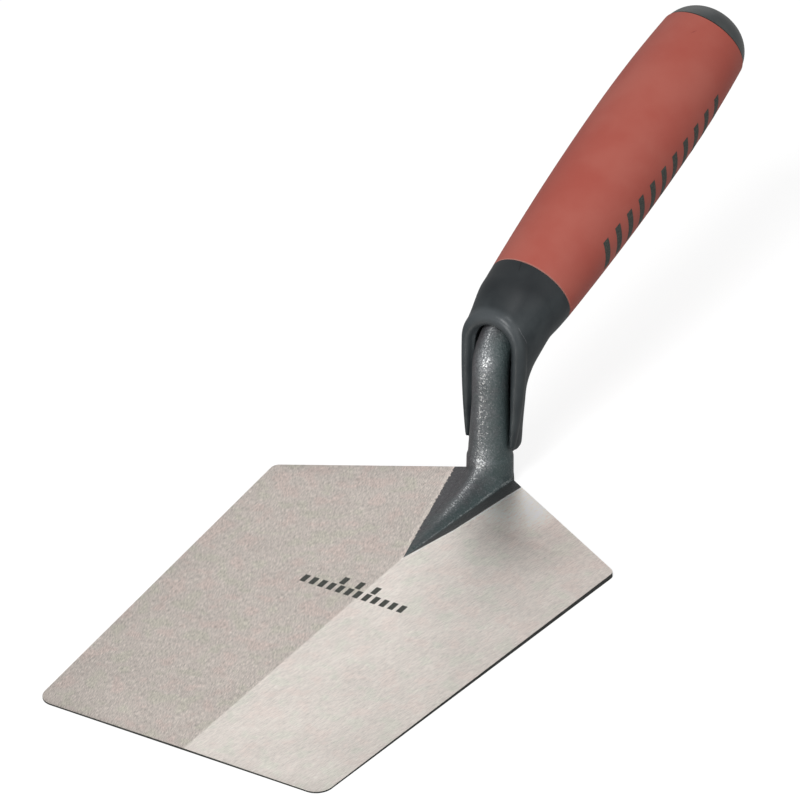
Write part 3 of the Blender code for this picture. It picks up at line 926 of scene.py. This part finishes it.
def makeLip():
    # up one cheek, over the shank and down the other
    foot, turn = guard["mouthFoot"][1], guard["mouthTop"][1] - guard["lipReach"]
    line = []
    steps, bends = guard["cheekSteps"], guard["archSteps"]
    for i in range(steps):
        t = i / steps
        rise = t * (2 - t)
        reach = guard["lipFootReach"] + (guard["lipReach"] - guard["lipFootReach"]) * rise
        line.append((reach, foot + (turn - foot) * t, rise))
    arch = [pi * i / bends for i in range(bends + 1)]
    far = [(-x, z, rise) for x, z, rise in reversed(line)]
    line += [(guard["lipReach"] * cos(a), turn + guard["lipReach"] * sin(a), 1.0) for a in arch]
    crown = [0.0] * steps + [guard["lipCrown"] * sin(a) for a in arch] + [0.0] * steps
    line += far
    rings = []
    count = guard["lipSides"]
    turns = [2 * pi * k / count for k in range(count)]
    through = (Vector((0, mouthY(1.0), 1.0)) - Vector((0, mouthY(0.0), 0.0))).normalized()
    through = Vector((1, 0, 0)).cross(through)    # out of the mouth, to the front
    for i, (x, z, rise) in enumerate(line):
        centre = fromHeel(x, mouthY(z), z)
        before = line[max(i - 1, 0)]
        after = line[min(i + 1, len(line) - 1)]
        ahead = fromHeel(after[0], mouthY(after[1]), after[1])
        ahead = (ahead - fromHeel(before[0], mouthY(before[1]), before[1])).normalized()
        out = ahead.cross(through).normalized()
        wide, deep = (a + (b - a) * rise for a, b in zip(guard["lipFoot"], guard["lip"]))
        centre = centre - through * guard["lipSetback"] * rise
        wide += crown[i]
        rings.append([centre + out * wide * cos(a) + through * deep * sin(a) for a in turns])
    return loft("guardLip", rings)


def trimmed(thing, point, normal):
    # cuts away what is past a plane and closes the cut
    form = bmesh.new()
    form.from_mesh(thing.data)
    parts = [*form.verts, *form.edges, *form.faces]
    bmesh.ops.bisect_plane(form, geom=parts, plane_co=point, plane_no=normal, clear_outer=True)
    rim = [edge for edge in form.edges if edge.is_boundary]
    bmesh.ops.edgeloop_fill(form, edges=rim)
    form.to_mesh(thing.data)
    form.free()


def makeGuard(material):
    body = makeGuardBody()
    combine(body, makeLip(), "UNION")
    combine(body, makeShank(guard["gap"]), "DIFFERENCE")
    soften(body, guard["voxel"], guard["rounds"])
    axis = Vector((0, cos(handle["tilt"]), sin(handle["tilt"])))
    ring = fromHeel(0, handle["ringY"], handle["ringZ"])
    trimmed(body, ring - axis * grip["Seam"], axis)
    radius, depth, over = cap["spigot"], cap["depth"], guard["socketOver"]
    socket = ((0.0, over), (radius, over), (radius, -depth), (0.0, -depth))
    combine(body, aroundHandle("socket", socket, guard["socketSides"]), "DIFFERENCE")
    body.data.materials.clear()
    body.data.materials.append(material)
    shadeSmooth(body, 50)
    return body


def guardPlasticMaterial():
    material, nodes, shader = newMaterial("guardPlastic", {"Specular IOR Level": 0.32})
    point, x, y, z = nodes.place()
    cloud = nodes.noise(point, 0.10, 3.0, 0.5)
    grain = nodes.noise(point, 3.0, 3.0, 0.6)
    colour = nodes.mix(cloud.ramp(0.3, 0.7), guard["tone"], guard["paler"])
    # painted shade: the guard is darker towards the ring at its top
    colour = nodes.mix(z.ramp(56.0, 64.0) * 0.75, colour, guard["collarShadeTone"])
    # painted highlight on the crown of the lip and down its sides
    (footY, footZ), (topY, topZ) = guard["mouthFoot"], guard["mouthTop"]
    forward = (z - footZ / mm) * ((topY - footY) / (topZ - footZ)) + footY / mm - y
    lipHighlight = forward.ramp(-1.5, 0.8) * (z.ramp(20.0, 45.0) * 0.4 + z.ramp(51.5, 57.5) * 0.6)
    colour = nodes.mix(lipHighlight * (0.6 + grain * 0.4), colour, guard["lipHighlightTone"])
    drift = (guard["flashTurn"] - z).high(0.0) * guard["flashLean"]
    flash = (y - drift).band(guard["flashY"], guard["flashHalf"]) * x.ramp(8.0, 8.4)
    flash = flash * z.ramp(*guard["flashLow"]) * z.ramp(*guard["flashHigh"])
    colour = nodes.mix(flash * grain.ramp(0.3, 0.5), colour, guard["flashTone"])
    drift = (y - guard["gateY"]) * guard["gateLean"]
    gate = (x - drift).band(guard["gateX"], guard["gateHalf"]) * y.ramp(13.6, 14.2)
    colour = nodes.mix(gate * z.ramp(60.0, 61.0), colour, guard["gateTone"])
    roughness = 0.47 + (cloud - 0.5) * 0.16 + (grain - 0.5) * 0.1 - lipHighlight * 0.12
    normal = nodes.bump(grain, 0.00005, 0.5)
    finish(nodes, shader, Base_Color=colour, Roughness=roughness, Normal=normal)
    return material


def corePlasticMaterial():
    material, nodes, shader = newMaterial("corePlastic", {"Specular IOR Level": 0.4})
    point = nodes.place()[0]
    grain = nodes.noise(point, 1.5, 3.0, 0.6)
    colour = nodes.mix(grain.ramp(0.3, 0.7), (0.020, 0.020, 0.021), (0.034, 0.034, 0.035))
    normal = nodes.bump(grain, 0.00006, 0.5)
    finish(nodes, shader, Base_Color=colour, Roughness=0.42 + grain * 0.16, Normal=normal)
    return material


gripMarks = {
    "Count": 11, "Start": 0.0225, "Pitch": 0.0068, "Stroke": 0.0028, "Tall": 0.0104,
    "Slant": 0.28, "Around": radians(99), "Climb": 3.4, "Proud": 0.00004, **grip,
}
bladeMarks = {
    "Count": 12, "Middle": -0.0829, "Pitch": 0.00325, "Stroke": 0.0019, "Tall": 0.0039,
    "Shift": 0.0, "Proud": 0.00002,
}
shortMarks = {**bladeMarks, "Count": 3, "Middle": -0.0784, "Pitch": 0.0058, "Shift": -0.0004}


def barRow(nodes, sizes, cut):
    # upright bars side by side along X, leaning by the slant
    half = sizes["Pitch"] * (sizes["Count"] - 1.0) * 0.5
    sockets = {
        "Count": sizes["Count"], "Start Location": nodes.join(-half, 0.0, 0.0),
        "Offset": nodes.join(sizes["Pitch"], 0.0, 0.0),
    }
    line = nodes.add("GeometryNodeMeshLine", {}, sockets)
    size = nodes.join(sizes["Stroke"], sizes["Tall"], sizes["Proud"] * 2.0)
    box = {"Size": size, "Vertices X": cut[0], "Vertices Y": cut[1], "Vertices Z": 2}
    bar = nodes.add("GeometryNodeMeshCube", {}, box)
    sockets = {"Points": line, "Instance": bar}
    row = nodes.add("GeometryNodeInstanceOnPoints", {}, sockets)
    return nodes.add("GeometryNodeRealizeInstances", {}, {"Geometry": row})


def gripMarksTree(material):
    nodes, sizes = geometryTree("gripMarks", gripMarks)
    row = barRow(nodes, sizes, (4, 14))
    x, y, z = nodes.split(nodes.add("GeometryNodeInputPosition"))
    half = sizes["Pitch"] * (sizes["Count"] - 1.0) * 0.5
    distance = sizes["Start"] + half + x + y * sizes["Slant"]
    radius = gripRadius(distance, sizes) + z
    angle = sizes["Around"] + x * sizes["Climb"] - y / sizes["Full radius"]
    endTree(nodes, rolled(nodes, row, angle, distance, radius), material)
    return nodes


def bladeMarksTree(material):
    nodes, sizes = geometryTree("bladeMarks", bladeMarks)
    row = barRow(nodes, sizes, (3, 2))
    x, y, z = nodes.split(nodes.add("GeometryNodeInputPosition"))
    away = sizes["Middle"] + y
    # the blade's top: its spine, falling evenly towards both edges
    along = (-away - blade["heelDepth"]) / (blade["length"] - blade["heelDepth"])
    spine = blade["shoulderSpine"] + along * (blade["toeSpine"] - blade["shoulderSpine"])
    edge = blade["shoulderEdge"] + along * (blade["toeEdge"] - blade["shoulderEdge"])
    half = (blade["width"] + along * (blade["toeWidth"] - blade["width"])) * 0.5
    height = spine - abs(x) * (spine - edge) / half + z
    place = nodes.join(x + sizes["Shift"], away + heelY, height)
    sockets = {"Geometry": row, "Position": place}
    endTree(nodes, nodes.add("GeometryNodeSetPosition", {}, sockets), material)
    return nodes


def markInkMaterial():
    material, nodes, shader = newMaterial("markInk", {"Specular IOR Level": 0.3})
    point = nodes.place()[0]
    speck = nodes.noise(point, 1.8, 3.0, 0.6)
    colour = nodes.mix(speck.ramp(0.35, 0.75), (0.030, 0.034, 0.030), (0.075, 0.078, 0.066))
    finish(nodes, shader, Base_Color=colour, Roughness=0.5 + speck * 0.2)
    return material


# the camera: degrees round and up, roll, lens in mm, and its place in metres
look = {
    "azimuth": 35.06, "elevation": 31.48, "roll": -3.03, "lens": 367.4,
    "distance": 2.57, "right": -0.03137, "up": 0.02292,
}
# azimuth, elevation, distance, size and brightness of each light
lights = {
    "key": (12, 52, 1.6, 0.50, 22.0), "front": (1, 13, 1.6, 0.30, 45.0),
    "right": (85, 28, 1.6, 1.20, 1.6),
    "behind": (look["azimuth"] + 180, look["elevation"], 1.6, 1.5, 0.55),
}


def makeCamera():
    side, rise, roll = (radians(look[k]) for k in ("azimuth", "elevation", "roll"))
    back = Vector((sin(side) * cos(rise), -cos(side) * cos(rise), sin(rise)))
    right = Vector((cos(side), sin(side), 0))
    up = back.cross(right)
    turned = right * cos(roll) + up * sin(roll)
    upright = up * cos(roll) - right * sin(roll)
    camera = bpy.data.cameras.new("camera")
    camera.lens = look["lens"]
    camera.sensor_width = 36.0
    camera.clip_start = 0.05
    camera.clip_end = 60.0
    holder = bpy.data.objects.new("camera", camera)
    scene.collection.objects.link(holder)
    place = fromHeel(0, 0, 0) + turned * look["right"] + upright * look["up"]
    place += back * look["distance"]
    columns = Matrix((turned, upright, back)).transposed().to_4x4()
    holder.matrix_world = Matrix.Translation(place) @ columns
    scene.camera = holder


def makeLight(name, azimuth, elevation, distance, size, radiance):
    # a disk of even brightness, facing the middle of the tool
    lamp = bpy.data.lights.new(name, "AREA")
    lamp.shape = "DISK"
    lamp.size = size
    lamp.energy = radiance * pi * pi * size * size / 4
    holder = bpy.data.objects.new(name, lamp)
    scene.collection.objects.link(holder)
    side, rise = radians(azimuth), radians(elevation)
    back = Vector((sin(side) * cos(rise), -cos(side) * cos(rise), sin(rise)))
    holder.location = Vector((0, 0, 0.04)) + back * distance
    holder.rotation_mode = "QUATERNION"
    holder.rotation_quaternion = back.to_track_quat("Z", "Y")
    holder.visible_camera = False


def makeStage():
    form = bmesh.new()
    bmesh.ops.create_grid(form, x_segments=1, y_segments=1, size=9.0)
    mesh = bpy.data.meshes.new("studioFloor")
    form.to_mesh(mesh)
    form.free()
    floor = newObject("studioFloor", mesh)
    floor.location.z = -0.00005
    # the floor throws no light up at the tool
    floor.visible_diffuse = False
    floor.visible_glossy = False
    fixed = {
        "Base Color": (0.25, 0.25, 0.25, 1), "Roughness": 0.9, "Specular IOR Level": 0.1,
        "Emission Color": (1, 1, 1, 1), "Emission Strength": 0.80,
    }
    floor.data.materials.append(newMaterial("paleFloor", fixed)[0])
    world = bpy.data.worlds.new("studio")
    world.use_nodes = True
    sky = world.node_tree.nodes["Background"]
    sky.inputs["Color"].default_value = (1, 1, 1, 1)
    sky.inputs["Strength"].default_value = 0.42
    scene.world = world
    scene.view_settings.view_transform = "Standard"
    for name, settings in lights.items():
        makeLight(name, *settings)


makeCamera()
makeStage()
print("stage: camera, floor and lights")

forging = makeForging()
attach(forging, "root")
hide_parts("blade_and_tang")
print("forging:", len(forging.data.polygons), "faces")

gripSleeve = grown("gripSleeve", gripTree(gripRubberMaterial()), grip)
joinSeams(gripSleeve)
shadeSmooth(gripSleeve, 40)
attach(gripSleeve, "root")
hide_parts("grip_sleeve")
print("grip:", len(gripSleeve.data.polygons), "faces")

buttCap = makeCap(capPlasticMaterial())
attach(buttCap, "root")
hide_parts("butt_cap")
print("butt cap:", len(buttCap.data.polygons), "faces")

fingerGuard = makeGuard(guardPlasticMaterial())
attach(fingerGuard, "root")
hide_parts("finger_guard")
print("guard:", len(fingerGuard.data.polygons), "faces")

ink = markInkMaterial()
onBlade = bladeMarksTree(ink)
for name, tree, sizes, slotName in (
    ("gripMarks", gripMarksTree(ink), gripMarks, "grip_rubber"),
    ("bladeMarks", onBlade, bladeMarks, "forged_steel"),
    ("bladeShortMarks", onBlade, shortMarks, "forged_steel"),
):
    bars = grown(name, tree, sizes)
    joinSeams(bars)
    shadeSmooth(bars, 40)
    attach(bars, "root")
    print(name + ":", len(bars.data.polygons), "faces")

# the core is hidden, so the CAD's own stands, with a better finish
coreFinish = corePlasticMaterial()
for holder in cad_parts["handle_core"].material_slots:
    holder.material = coreFinish
